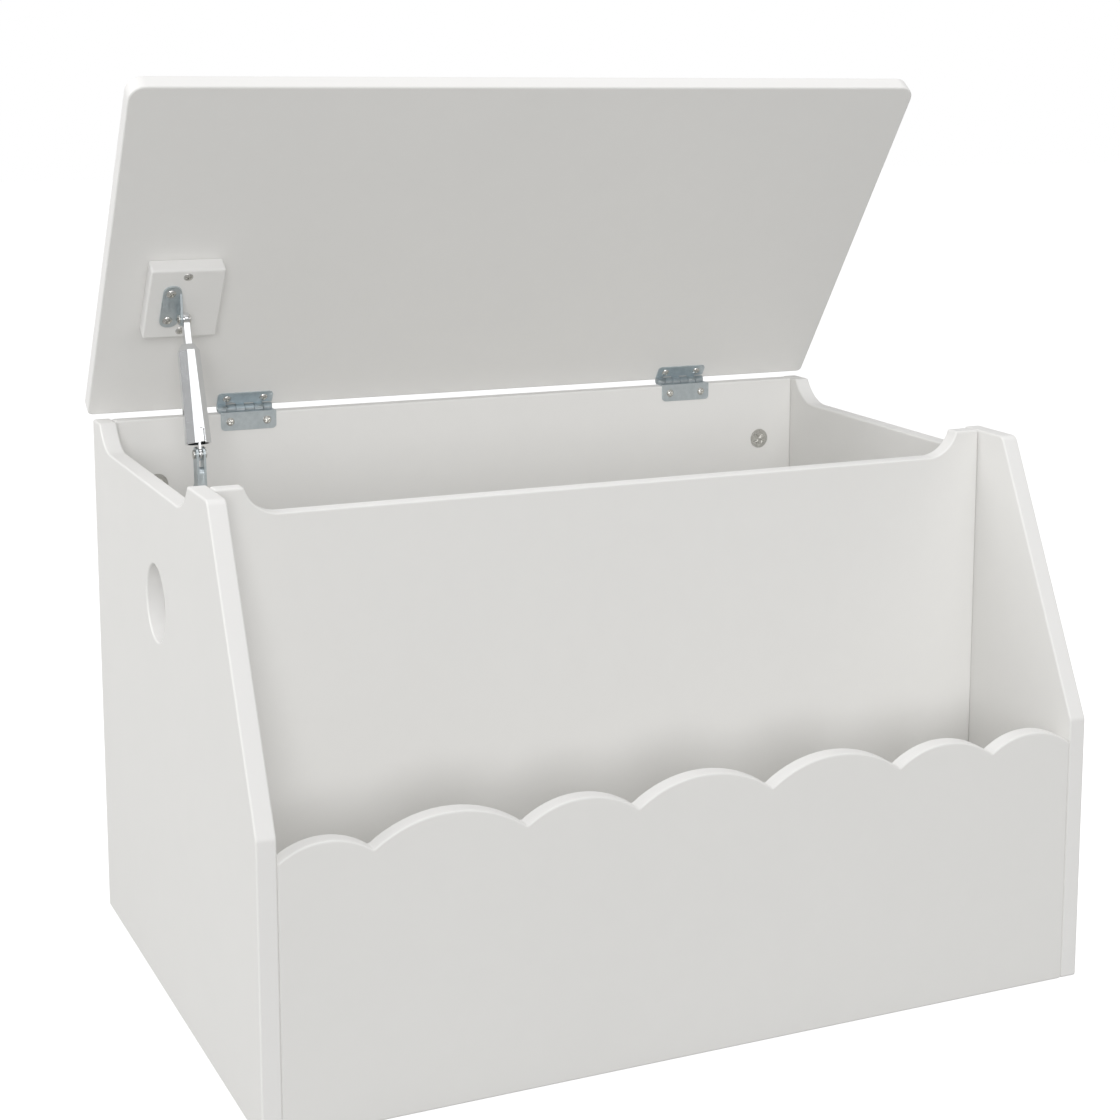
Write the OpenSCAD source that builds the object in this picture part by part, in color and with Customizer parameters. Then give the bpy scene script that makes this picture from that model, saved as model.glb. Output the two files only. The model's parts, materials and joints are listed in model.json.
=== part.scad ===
// Toy storage bench: a scooped box with a lift-up lid, a stay, and a book pocket in front.
// Millimetres. +X to the right as seen from the front, +Y to the back, +Z up.
// The origin is on the floor, under the middle of the whole bench with its lid as stored.

/* [Box] */
// Width over the two side panels
body_w = 560; // [430:5:700]
// Depth of the side panels, front edge to rear edge
body_d = 404; // [350:2:520]
// Height of the raised corners that carry the lid
corner_h = 356; // [300:2:460]
// Thickness of every board
board_t = 12; // [9:0.5:18]
// Height of the upright part of the front edge, below the slope
front_h = 180; // [150:2:240]
// How far the sloped front edge leans back
slope_run = 90; // [70:1:120]
// How far the back panel sits in from the rear edges
back_inset = 3; // [0:0.5:10]

/* [Pocket and floor] */
// From the front edges to the front face of the divider
divider_set = 119; // [105:1:150]
// Gap between the floor panel and the ground
floor_gap = 10; // [4:1:30]

/* [Scooped edges] */
// Depth of the scooped edges below the raised corners
scoop_depth = 17; // [8:1:30]
// Length of the curve at each end of a side panel's scoop
side_scoop_run = 28; // [15:1:40]
// Length of the curve at each end of the divider's scoop
divider_scoop_run = 20; // [14:1:40]
// Flat at the rear of a side panel's top edge
rear_flat = 22; // [15:1:40]
// How far the front shoulder reaches behind the divider
shoulder_behind = 5; // [1:1:15]
// Width of the divider's raised corners
divider_corner_w = 18; // [10:1:40]
// How far each curve is already rising where it leaves the level edge
curve_ease = 2; // [1:0.5:4]

/* [Front panel wave] */
// Height of the low points between the lobes
valley_h = 165; // [110:1:200]
// Rise of a lobe over its own width
lobe_rise_share = 0.17; // [0.1:0.01:0.25]

/* [Hand holes] */
// Diameter of the hole in each side panel
hand_hole_d = 50; // [35:1:70]
// From the corner height down to the hand hole's centre
hand_hole_drop = 92; // [70:1:120]
// From the rear edge to the hand hole's centre
hand_hole_set = 177; // [120:1:230]

/* [Lid] */
// How far the lid passes each side panel
lid_overhang = 4; // [0:0.5:15]
// How far the lid's front edge passes the divider when shut
lid_nose = 1; // [0:0.5:20]
// How far the lid's rear edge passes the hinge axis
lid_tail = 1.5; // [0.5:0.1:2]
// Radius of the lid's front corners
lid_corner_r = 11; // [3:1:30]
// Radius of the lid's rear corners
lid_rear_corner_r = 4; // [1:0.5:10]
// Opening angle of the lid as stored
lid_open = 54.3; // [0:0.1:80]

/* [Hinges] */
// From a side panel's inner face to the middle of the nearer hinge
hinge_set = 94.5; // [75:0.5:120]
// Length of a hinge along its pin
hinge_w = 40; // [30:1:60]
// Thickness of the hinge leaves
leaf_t = 1; // [0.8:0.1:1.5]
// Height of the leaf on the back panel's face
leaf_drop = 12; // [10:0.5:20]
// Reach of the leaf on the lid, from the pin
leaf_reach = 12.5; // [10:0.5:20]
// Outer diameter of the knuckles
knuckle_d = 5; // [4.4:0.1:7]
// Diameter of the hinge pin
pin_d = 2.4; // [1.6:0.1:2.6]
// Radial clearance of every pin in its bore
pin_play = 0.05; // [0.02:0.01:0.1]
// Distance between the two screws of a leaf
leaf_screw_pitch = 26.6; // [18:0.2:30]

/* [Lid stay] */
// From the left side panel's inner face to the stay
stay_set = 33; // [28:1:45]
// From the hinge axis to the stay's lid pivot, along the lid
stay_reach = 105; // [95:1:125]
// From the hinge axis down to the stay's lid pivot, lid shut
stay_drop = 18.4; // [17.5:0.1:24]
// Length of the hanging link, from lid pivot to elbow
link_len = 92; // [80:1:110]
// Lean of the hanging link from upright
link_lean = 18.6; // [8:0.1:22]
// Thickness of the stay's plates
plate_t = 1.5; // [1:0.1:2]
// Thickness of the strap at the lid pivot
strap_t = 4; // [2:0.5:5]
// Length of the chromed cover
cover_len = 65; // [50:1:70]
// Diameter of the stay's pivots
stay_pin_d = 4; // [3:0.1:5]
// Clearance round the elbow rivet in the arm
elbow_play = 0.3; // [0.2:0.05:0.6]

/* [Stay block] */
// Width of the wooden block under the lid
block_w = 50; // [40:1:70]
// Length of the block along the lid
block_l = 60; // [50:1:90]
// Thickness of the block
block_t = 12; // [8:0.5:15]
// From the hinge axis to the near end of the block
block_set = 80; // [70:1:100]
// How far the block's middle is right of the stay
block_shift = 3; // [0:0.5:10]

/* [Fixings] */
// Diameter of a cam lock
cam_d = 15; // [12:0.5:18]
// Depth of a cam lock in its board
cam_depth = 8.8; // [6:0.1:9]
// From a board's end to its cam locks
cam_set = 28.4; // [24:0.2:40]
// Diameter of a cam bolt's shank
bolt_d = 5; // [4:0.5:6]
// Depth of bolts and dowels in the side panels
fixing_sink = 8; // [5:0.5:8]
// Diameter of a wooden dowel
dowel_d = 6; // [5:0.5:8]
// Length of a wooden dowel
dowel_l = 25; // [20:1:35]
// Clearance of bolts, cams and dowels in their holes
fixing_play = 0.05; // [0.02:0.01:0.2]
// From the corner height down to the back panel's upper cam locks
back_cam_drop = 47; // [30:1:90]
// From the corner height down to the divider's upper cam locks
divider_cam_drop = 66; // [45:1:90]
// From the valleys of the wave down to the front panel's upper cam locks
front_cam_drop = 35; // [15:1:45]
// Height of the lower cam locks
cam_low_z = 48; // [40:1:55]

/* [Hidden] */

paint = "white";
zinc = "lightsteelblue";
chrome = "gainsboro";
beech = "burlywood";
$fn = 64;
over = 1;

// Heights of the hinge axis over the box's top and of the lid's underside over the axis:
// the knuckles just clear the board below them and the board above them.
knuckle_clear = 0.1;
axis_rise = knuckle_d / 2 + knuckle_clear;
lid_rise = axis_rise;

// The open lid's rear corner stands behind the box, so the box is set forward by half of it.
axis_from_rear = back_inset + lid_tail;
open_corner = lid_tail * cos(lid_open) + (lid_rise + board_t) * sin(lid_open);
rear_reach = max(0, open_corner - axis_from_rear);
front_y = -(body_d + rear_reach) / 2;
rear_y = front_y + body_d;

inner_x = body_w / 2 - board_t;
lid_w = body_w + 2 * lid_overhang;
hinge_x = inner_x - hinge_set;
stay_x = stay_set - inner_x;
hand_hole_z = corner_h - hand_hole_drop;
back_cam_top_z = corner_h - back_cam_drop;
divider_cam_top_z = corner_h - divider_cam_drop;
front_cam_top_z = valley_h - front_cam_drop;
back_face_y = rear_y - back_inset - board_t;
divider_y = front_y + divider_set;
divider_back_y = divider_y + board_t;
shoulder_y = divider_back_y + shoulder_behind;
floor_top = floor_gap + board_t;
axis_y = rear_y - axis_from_rear;
axis_z = corner_h + axis_rise;

// The lid is shut when its underside meets the rear edge of the shoulders.
lid_l = axis_y + lid_tail - divider_y + lid_nose;

// Pivots of the stay, as [y, z]: they form a parallelogram with the hinge axis.
lid_pivot = turned([-stay_reach, -stay_drop]);
link_step = [-link_len * sin(link_lean), -link_len * cos(link_lean)];
elbow = lid_pivot + link_step;
arm_foot = [axis_y, axis_z] + link_step;

// A point of the shut lid, counted from the axis, on the lid as stored.
function turned(p) = [
    axis_y + p[0] * cos(lid_open) + p[1] * sin(lid_open),
    axis_z - p[0] * sin(lid_open) + p[1] * cos(lid_open)
];

// Places lid pieces: drawn from the hinge axis on a shut lid, turned open as stored.
module on_lid() {
    translate([0, axis_y, axis_z]) rotate([-lid_open, 0, 0]) children();
}

// Turns a flat outline drawn in y and z into a plate that starts at x.
module plate_yz(x, t) {
    translate([x, 0, 0]) rotate([90, 0, 90]) linear_extrude(t) children();
}

// Turns a flat outline drawn in x and z into a board whose front face is at y.
module board_xz(y, t) {
    translate([0, y + t, 0]) rotate([90, 0, 0]) linear_extrude(t) children();
}

module rod_x(x, y, z, d, l) {
    translate([x, y, z]) rotate([0, 90, 0]) cylinder(d = d, h = l);
}

module box_at(low, high) {
    translate(low) cube(high - low);
}

// The part cut out of a top edge between a and b: level in the middle, curved up at the ends.
module scoop(a, b, run, depth) {
    level = corner_h - depth;
    rise = (pow(run + curve_ease, 2) + pow(depth, 2) - pow(curve_ease, 2)) / (2 * depth);
    radius = sqrt(pow(curve_ease, 2) + pow(rise, 2));
    first = a + run + curve_ease;
    last = b - run - curve_ease;
    intersection() {
        union() {
            for (x = [first, last]) translate([x, level + rise]) circle(radius, $fn = 128);
            translate([first, level - over]) square([last - first, depth + 2 * over]);
        }
        translate([a - over, level]) square([b - a + 2 * over, depth + over]);
    }
}

// Rectangle from [0, 0] with its two far corners rounded to r and its near ones to near_r.
module rounded_slab(w, l, r, near_r) {
    difference() {
        translate([-w / 2, 0]) square([w, l]);
        for (side = [-1, 1]) {
            corner_cut(side * w / 2, l, side, 1, r);
            corner_cut(side * w / 2, 0, side, -1, near_r);
        }
    }
}

// What a rounded corner at [x, y] takes off a square one; sx and sy point out of the sheet.
module corner_cut(x, y, sx, sy, r) {
    difference() {
        translate([x - (sx > 0 ? r : over), y - (sy > 0 ? r : over)]) square(r + over);
        translate([x - sx * r, y - sy * r]) circle(r);
    }
}

// ---- Boards ----

function cam_heights(top_z) = [cam_low_z, top_z];
panel_fixings = [
    for (z = cam_heights(back_cam_top_z)) [back_face_y, z, 1],
    for (z = cam_heights(divider_cam_top_z)) [divider_y, z, -1],
    for (z = cam_heights(front_cam_top_z)) [front_y, z, -1]
];
board_mid = board_t / 2;
dowel_spots = [
    [back_face_y + board_mid, (cam_low_z + back_cam_top_z) / 2],
    [divider_y + board_mid, (cam_low_z + divider_cam_top_z) / 2],
    [front_y + board_mid, (cam_low_z + front_cam_top_z) / 2],
    [divider_back_y + (back_face_y - divider_back_y) / 4, floor_gap + board_mid],
    [divider_back_y + (back_face_y - divider_back_y) * 3 / 4, floor_gap + board_mid],
    [(front_y + board_t + divider_y) / 2, floor_gap + board_mid]
];
bolt_spots = [for (p = panel_fixings) [p[0] + board_mid, p[1]]];

// Outline of a side panel in y and z.
module side_outline() {
    difference() {
        polygon([
            [front_y, 0], [rear_y, 0], [rear_y, corner_h],
            [front_y + slope_run, corner_h], [front_y, front_h]
        ]);
        scoop(shoulder_y, rear_y - rear_flat, side_scoop_run, scoop_depth);
        translate([rear_y - hand_hole_set, hand_hole_z]) circle(d = hand_hole_d, $fn = 96);
    }
}

module side_panel(side) {
    difference() {
        plate_yz(side < 0 ? -body_w / 2 : inner_x, board_t) side_outline();
        fixing_holes(side, bolt_spots, bolt_d);
        fixing_holes(side, dowel_spots, dowel_d);
        if (side < 0) side_bracket_screw_set(stay_screw_d, true);
    }
}

// Blind holes in a side panel's inner face.
module fixing_holes(side, spots, d) {
    for (p = spots) {
        x = side < 0 ? -inner_x - fixing_sink : inner_x - over;
        rod_x(x, p[0], p[1], d + 2 * fixing_play, fixing_sink + over);
    }
}

module left_side_panel() {
    color(paint) side_panel(-1);
}

module right_side_panel() {
    color(paint) side_panel(1);
}

// Holes for the bolts, dowels and cams of a panel; the cams go in from its inside face.
module panel_holes(y, heights, dowel_z, cam_side) {
    bolt_hole_d = bolt_d + 2 * fixing_play;
    for (side = [-1, 1]) {
        for (z = heights) {
            rod_x(side < 0 ? -inner_x - over : inner_x - cam_set, y + board_mid, z,
                bolt_hole_d, cam_set + over);
            cam_body(side, y, z, cam_side, cam_d + 2 * fixing_play, cam_depth + over);
        }
        rod_x(side < 0 ? -inner_x - over : inner_x - dowel_l + fixing_sink, y + board_mid,
            dowel_z, dowel_d + 2 * fixing_play, dowel_l - fixing_sink + over);
    }
}

// A round body sunk into a panel's front face (cam_side 1) or its back face (cam_side -1).
module cam_body(side, y, z, cam_side, d, depth) {
    sunk_from = cam_side > 0 ? y + cam_depth - depth : y + board_t - cam_depth;
    translate([side * (inner_x - cam_set), sunk_from, z]) rotate([-90, 0, 0])
        cylinder(d = d, h = depth);
}

module back_panel() {
    color(paint) difference() {
        box_at([-inner_x, back_face_y, 0], [inner_x, back_face_y + board_t, corner_h]);
        panel_holes(back_face_y, cam_heights(back_cam_top_z), dowel_spots[0][1], 1);
        hinge_body_screw_set(leaf_screw_d, true);
    }
}

module divider_panel() {
    edge = inner_x - divider_corner_w;
    color(paint) difference() {
        board_xz(divider_y, board_t) difference() {
            translate([-inner_x, floor_top]) square([2 * inner_x, corner_h - floor_top]);
            scoop(-edge, edge, divider_scoop_run, scoop_depth);
        }
        panel_holes(divider_y, cam_heights(divider_cam_top_z), dowel_spots[1][1], -1);
    }
}

// Widths of the lobes from left to right, in proportion.
lobe_shares = [56, 94, 72, 91, 92, 70, 61];

function sum(list, n) = n <= 0 ? 0 : list[n - 1] + sum(list, n - 1);
function valley_x(n) =
    -inner_x + 2 * inner_x * sum(lobe_shares, n) / sum(lobe_shares, len(lobe_shares));

// One lobe of the wave: a round-topped strip that stands on the panel below the valleys.
module lobe(n) {
    left = valley_x(n);
    width = valley_x(n + 1) - left;
    rise = width * lobe_rise_share;
    radius = (pow(width / 2, 2) + pow(rise, 2)) / (2 * rise);
    intersection() {
        translate([left + width / 2, valley_h + rise - radius]) circle(radius, $fn = 128);
        translate([left, valley_h - rise]) square([width, 2 * rise + over]);
    }
}

module front_panel() {
    color(paint) difference() {
        board_xz(front_y, board_t) {
            translate([-inner_x, 0]) square([2 * inner_x, valley_h - 1]);
            for (n = [0 : len(lobe_shares) - 1]) lobe(n);
        }
        panel_holes(front_y, cam_heights(front_cam_top_z), dowel_spots[2][1], -1);
    }
}

module floor_panel() {
    color(paint) difference() {
        box_at([-inner_x, front_y + board_t, floor_gap], [inner_x, back_face_y, floor_top]);
        for (side = [-1, 1], n = [3 : 5])
            rod_x(side < 0 ? -inner_x - over : inner_x - dowel_l + fixing_sink,
                dowel_spots[n][0], dowel_spots[n][1], dowel_d + 2 * fixing_play,
                dowel_l - fixing_sink + over);
    }
}

// ---- Fixings ----

// Cross-shaped driver recess, along -Z from the origin, turned by angle.
module cross_recess(size, depth, angle = 0) {
    for (turn = [0, 90])
        rotate([0, 0, turn + angle]) translate([-size / 2, -size / 10, -depth])
            cube([size, size / 5, depth + over]);
}

// A cam lock seen from its board's inside face, with its cross recess and the bolt's pocket.
module cam_lock(side, y, z, cam_side) {
    mouth_y = cam_side > 0 ? y : y + board_t;
    difference() {
        cam_body(side, y, z, cam_side, cam_d, cam_depth);
        translate([side * (inner_x - cam_set), mouth_y, z]) rotate([cam_side > 0 ? 90 : -90, 0, 0])
            cross_recess(cam_d * 0.6, 1.6, 45);
        rod_x(side < 0 ? -inner_x : inner_x - cam_set, y + board_mid, z,
            bolt_d + 2 * fixing_play, cam_set);
    }
}

module cam_locks(y, top_z, cam_side) {
    color(zinc) for (side = [-1, 1], z = cam_heights(top_z)) cam_lock(side, y, z, cam_side);
}

module back_cam_locks() {
    cam_locks(back_face_y, back_cam_top_z, 1);
}

module divider_cam_locks() {
    cam_locks(divider_y, divider_cam_top_z, -1);
}

module front_cam_locks() {
    cam_locks(front_y, front_cam_top_z, -1);
}

// Bolts run from the side panels into the cam locks.
module cam_bolts() {
    color(zinc) for (side = [-1, 1], p = bolt_spots)
        rod_x(side < 0 ? -inner_x - fixing_sink : inner_x - cam_set, p[0], p[1], bolt_d,
            cam_set + fixing_sink);
}

module wooden_dowels() {
    color(beech) for (side = [-1, 1], p = dowel_spots)
        rod_x(side < 0 ? -inner_x - fixing_sink : inner_x + fixing_sink - dowel_l,
            p[0], p[1], dowel_d, dowel_l);
}

// A cross-head screw: its head's seat at the origin, head towards +Z, shank towards -Z.
// As a hole it is the shank alone, wider by the play.
module screw(d, l, head_d, head_h, hole = false) {
    if (hole) translate([0, 0, -l]) cylinder(d = d + 2 * fixing_play, h = l + over, $fn = 32);
    else {
        dome_r = (pow(head_d / 2, 2) + pow(head_h, 2)) / (2 * head_h);
        difference() {
            union() {
                intersection() {
                    cylinder(d = head_d, h = head_h, $fn = 48);
                    translate([0, 0, head_h - dome_r]) sphere(dome_r, $fn = 64);
                }
                translate([0, 0, -l]) cylinder(d = d, h = l + head_h / 2, $fn = 32);
            }
            translate([0, 0, head_h]) cross_recess(head_d * 0.62, head_h * 0.85, 45);
        }
    }
}

leaf_screw_d = 3;
leaf_screw_l = 9;
leaf_screw_head = [6, 1.4];
stay_screw_d = 3;
stay_screw_l = 8;
stay_screw_head = [6.8, 1.6];
block_screw_d = 3.5;
block_screw_l = 20;
block_screw_head = [6.4, 1.2];

// ---- Hinges ----

hinge_centres = [-hinge_x, hinge_x];
knuckles = 6;
knuckle_gap = 0.5;
leaf_corner_r = 3;
body_screw_z = corner_h - leaf_drop / 2 + 0.3;
lid_screw_reach = leaf_reach / 2 + 0.8;
screw_sides = [-leaf_screw_pitch / 2, leaf_screw_pitch / 2];

// Every second knuckle along the pin, from the first (lid) or the second (box).
module knuckle_row(first) {
    pitch = hinge_w / knuckles;
    for (n = [first : 2 : knuckles - 1])
        rod_x(-hinge_w / 2 + n * pitch + knuckle_gap / 2, 0, 0, knuckle_d, pitch - knuckle_gap);
}

// Room round the other leaf's knuckles, cut out of the leaf's edge.
module knuckle_room(first) {
    pitch = hinge_w / knuckles;
    room = knuckle_d / 2 + 0.3;
    for (n = [first : 2 : knuckles - 1])
        translate([-hinge_w / 2 + n * pitch - knuckle_gap / 2, -room, -room])
            cube([pitch + knuckle_gap, 2 * room, 2 * room]);
}

module pin_bore() {
    rod_x(-hinge_w / 2 - over, 0, 0, pin_d + 2 * pin_play, hinge_w + 2 * over);
}

// The leaf on the box is bent over the back panel's top edge; drawn from the pin's middle.
module body_leaf(centre) {
    bend_y = back_face_y - leaf_t - axis_y;
    top = -axis_rise + leaf_t;
    difference() {
        translate([centre, axis_y, axis_z]) difference() {
            union() {
                translate([0, bend_y + leaf_t, top]) rotate([90, 0, 0])
                    linear_extrude(leaf_t) mirror([0, 1])
                    rounded_slab(hinge_w, leaf_drop + leaf_t, leaf_corner_r, 0.5);
                translate([-hinge_w / 2, bend_y, top - leaf_t]) cube([hinge_w, -bend_y, leaf_t]);
                knuckle_row(1);
            }
            knuckle_room(0);
            pin_bore();
        }
        hinge_body_screw_set(leaf_screw_d, true);
    }
}

// The leaf under the lid is flat; drawn on the shut lid from the pin's middle.
module lid_leaf(centre) {
    difference() {
        on_lid() translate([centre, 0, 0]) difference() {
            union() {
                translate([0, 0, lid_rise - leaf_t]) mirror([0, 1, 0]) linear_extrude(leaf_t)
                    rounded_slab(hinge_w, leaf_reach, leaf_corner_r, 0.5);
                knuckle_row(0);
            }
            knuckle_room(1);
            pin_bore();
        }
        hinge_lid_screw_set(leaf_screw_d, true);
    }
}

module hinge_pin(centre) {
    rod_x(centre - hinge_w / 2, axis_y, axis_z, pin_d, hinge_w);
}

module hinge_body_screw_set(d, hole) {
    for (centre = hinge_centres, side = screw_sides)
        translate([centre + side, back_face_y - leaf_t, body_screw_z]) rotate([90, 0, 0])
            screw(d, leaf_screw_l, leaf_screw_head[0], leaf_screw_head[1], hole);
}

module hinge_lid_screw_set(d, hole) {
    on_lid() for (centre = hinge_centres, side = screw_sides)
        translate([centre + side, -lid_screw_reach, lid_rise - leaf_t]) rotate([180, 0, 0])
            screw(d, leaf_screw_l, leaf_screw_head[0], leaf_screw_head[1], hole);
}

module left_hinge_body_leaf() {
    color(zinc) body_leaf(-hinge_x);
}

module right_hinge_body_leaf() {
    color(zinc) body_leaf(hinge_x);
}

module left_hinge_lid_leaf() {
    color(zinc) lid_leaf(-hinge_x);
}

module right_hinge_lid_leaf() {
    color(zinc) lid_leaf(hinge_x);
}

module left_hinge_pin() {
    color(zinc) hinge_pin(-hinge_x);
}

module right_hinge_pin() {
    color(zinc) hinge_pin(hinge_x);
}

module hinge_body_screws() {
    color(zinc) hinge_body_screw_set(leaf_screw_d, false);
}

module hinge_lid_screws() {
    color(zinc) hinge_lid_screw_set(leaf_screw_d, false);
}

// ---- Lid ----

module lid_panel() {
    color(paint) difference() {
        on_lid() translate([0, lid_tail, lid_rise]) mirror([0, 1, 0]) linear_extrude(board_t)
            rounded_slab(lid_w, lid_l, lid_corner_r, lid_rear_corner_r);
        hinge_lid_screw_set(leaf_screw_d, true);
        block_screw_set(true);
    }
}

block_x = stay_x + block_shift;
block_face = lid_rise - block_t;
block_screw_inset = 6;
block_screw_spots = [block_set + block_screw_inset, block_set + block_l - block_screw_inset];

module stay_block() {
    color(paint) difference() {
        on_lid() translate([block_x - block_w / 2, -block_set - block_l, block_face])
            cube([block_w, block_l, block_t]);
        block_screw_set(true);
        bracket_screw_set(true);
    }
}

module block_screw_set(hole) {
    on_lid() for (reach = block_screw_spots)
        translate([block_x, -reach, block_face]) rotate([180, 0, 0])
            screw(block_screw_d, block_screw_l, block_screw_head[0], block_screw_head[1], hole);
}

module stay_block_screws() {
    color(zinc) block_screw_set(false);
}

// ---- Stay ----

// From left to right along X: the bracket's ear, the strap, and the link's middle plane.
play_x = 0.2;
ear_x = stay_x - plate_t;
strap_x = stay_x + play_x;
link_mid = strap_x + strap_t / 2;
eye_d = 9;
bracket_w = 12.5;
bracket_l = 36;
bracket_screw_pitch = 23.6;
bracket_x = ear_x - bracket_w / 2 + plate_t;
bracket_mid = stay_reach + 4;

// A straight bar with round ends between two points of a flat outline.
module round_bar(p, q, d) {
    hull() {
        translate(p) circle(d = d, $fn = 32);
        translate(q) circle(d = d, $fn = 32);
    }
}

module pivot_bore(p, d) {
    rod_x(-body_w / 2, p[0], p[1], d, body_w);
}

stay_bore_d = stay_pin_d + 2 * pin_play;

// Foot plate on the block with one ear bent up round the pivot.
module stay_lid_bracket() {
    color(zinc) difference() {
        on_lid() {
            translate([bracket_x, -bracket_mid, block_face - plate_t]) linear_extrude(plate_t)
                translate([0, -bracket_l / 2])
                rounded_slab(bracket_w, bracket_l, bracket_w / 2 - 0.5, bracket_w / 2 - 0.5);
            plate_yz(ear_x, plate_t) hull() {
                translate([-stay_reach, -stay_drop]) circle(d = eye_d, $fn = 32);
                translate([-stay_reach - 16, block_face - plate_t]) square([24, plate_t]);
            }
        }
        pivot_bore(lid_pivot, stay_bore_d);
        bracket_screw_set(true);
    }
}

module bracket_screw_set(hole) {
    on_lid() for (side = [-1, 1])
        translate([bracket_x - 1, -bracket_mid + side * bracket_screw_pitch / 2,
            block_face - plate_t]) rotate([180, 0, 0])
            screw(stay_screw_d, stay_screw_l, stay_screw_head[0], stay_screw_head[1], hole);
}

module stay_lid_bracket_screws() {
    color(zinc) bracket_screw_set(false);
}

// A riveted pivot: a pin with a flat head at each end.
module rivet(x, p, d, l, head_d) {
    rivet_head = 1;
    rod_x(x, p[0], p[1], d, l);
    rod_x(x - rivet_head, p[0], p[1], head_d, rivet_head);
    rod_x(x + l, p[0], p[1], head_d, rivet_head);
}

module stay_lid_stud() {
    color(zinc) rivet(ear_x, lid_pivot, stay_pin_d, plate_t + strap_t + 2 * play_x, 6.5);
}

// The hanging link: a strap from the lid pivot into a chromed cover, and a bar out of it.
link_dir = link_step / link_len;
cover_top = 20;
cover_wall = 1.2;
cover_w = [14, 16.5];
cover_d = [13, 14];
cover_chamfer = 4.6;
strap_w = 6.5;

function on_link(s) = lid_pivot + link_dir * s;

// Places pieces drawn on the link's own axes, s down from the lid pivot.
module on_link_at(s) {
    p = on_link(s);
    translate([link_mid, p[0], p[1]]) rotate([-link_lean, 0, 0]) children();
}

module stay_strap() {
    color(chrome) difference() {
        plate_yz(strap_x, strap_t) {
            round_bar(lid_pivot, on_link(cover_top + 6), strap_w);
            translate(lid_pivot) circle(d = eye_d);
        }
        pivot_bore(lid_pivot, stay_bore_d);
    }
}

// A thin slice of the cover: a rectangle with its corners cut off, smaller all round by shrink.
module cover_slice(s, shrink) {
    share = s / cover_len;
    w = (cover_w[0] + (cover_w[1] - cover_w[0]) * share) / 2 - shrink;
    d = (cover_d[0] + (cover_d[1] - cover_d[0]) * share) / 2 - shrink;
    c = cover_chamfer - shrink * 0.6;
    on_link_at(cover_top + s) linear_extrude(0.01) polygon([
        [w - c, -d], [w, c - d], [w, d - c], [w - c, d],
        [c - w, d], [-w, d - c], [-w, c - d], [c - w, -d]
    ]);
}

// Tapered sleeve with a shouldered top, open below, with a slot low in its front.
module stay_cover() {
    color(chrome) difference() {
        hull() {
            cover_slice(-2.5, 2.6);
            cover_slice(2, 0);
            cover_slice(cover_len, 0);
        }
        hull() {
            cover_slice(2 + cover_wall, cover_wall);
            cover_slice(cover_len + over, cover_wall);
        }
        on_link_at(cover_top) translate([-strap_t / 2, -strap_w / 2 - 0.2, -6])
            cube([strap_t, strap_w + 0.4, 12]);
        on_link_at(cover_top + cover_len) translate([0.2, -cover_d[1], -over])
            cube([3, cover_d[1], 11]);
    }
}

module stay_inner_bar() {
    finger_y = cover_wall + 0.5 - cover_d[1] / 2;
    color(chrome) difference() {
        union() {
            plate_yz(link_mid - plate_t / 2, plate_t) {
                round_bar(on_link(cover_top + 30), elbow, 7);
                translate(elbow) circle(d = eye_d);
            }
            on_link_at(cover_top + cover_len - 1) translate([-plate_t / 2, finger_y, 0])
                cube([4, 4, 14]);
        }
        pivot_bore(elbow, stay_bore_d);
    }
}

// The arm is a fork round the inner bar; its left cheek runs on to the foot pivot.
cheek_gap = plate_t / 2 + 0.85;
arm_w = 2 * (cheek_gap + plate_t);
arm_left = link_mid - arm_w / 2;
cheek_d = 10;

module stay_elbow_rivet() {
    color(zinc) rivet(arm_left - play_x, elbow, stay_pin_d, arm_w + 2 * play_x, 6);
}

module stay_lower_arm() {
    crank = elbow + [-1, -22];
    color(zinc) difference() {
        union() {
            plate_yz(arm_left, plate_t) {
                round_bar(elbow, crank, cheek_d);
                round_bar(crank, arm_foot, cheek_d - 2);
                translate(arm_foot) circle(d = 12);
            }
            plate_yz(link_mid + cheek_gap, plate_t) round_bar(elbow, crank, cheek_d);
            plate_yz(link_mid - cheek_gap, 2 * cheek_gap)
                round_bar(elbow + [-0.6, -13], crank, cheek_d - 1);
        }
        pivot_bore(elbow, stay_pin_d + 2 * elbow_play);
        pivot_bore(arm_foot, stay_bore_d);
    }
}

// Foot plate on the left side panel, with a post that carries the arm.
side_plate_l = 36;

module stay_side_bracket() {
    color(zinc) difference() {
        plate_yz(-inner_x, plate_t) translate([arm_foot[0], arm_foot[1] - side_plate_l / 2])
            rounded_slab(bracket_w, side_plate_l, bracket_w / 2 - 0.5, bracket_w / 2 - 0.5);
        rod_x(-inner_x - over, arm_foot[0], arm_foot[1], stay_bore_d, plate_t + 2 * over);
        side_bracket_screw_set(stay_screw_d, true);
    }
}

module side_bracket_screw_set(d, hole) {
    for (side = [-1, 1])
        translate([-inner_x + plate_t, arm_foot[0], arm_foot[1] + side * bracket_screw_pitch / 2])
            rotate([0, 90, 0])
            screw(d, stay_screw_l, stay_screw_head[0], stay_screw_head[1], hole);
}

module stay_side_bracket_screws() {
    color(zinc) side_bracket_screw_set(stay_screw_d, false);
}

module stay_side_stud() {
    shoulder_x = -inner_x + plate_t;
    color(zinc) {
        rod_x(-inner_x, arm_foot[0], arm_foot[1], stay_pin_d, arm_left + plate_t + 0.4 + inner_x);
        rod_x(shoulder_x, arm_foot[0], arm_foot[1], 8, arm_left - 0.3 - shoulder_x);
        rod_x(arm_left + plate_t + 0.3, arm_foot[0], arm_foot[1], 7, 1);
    }
}

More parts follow.
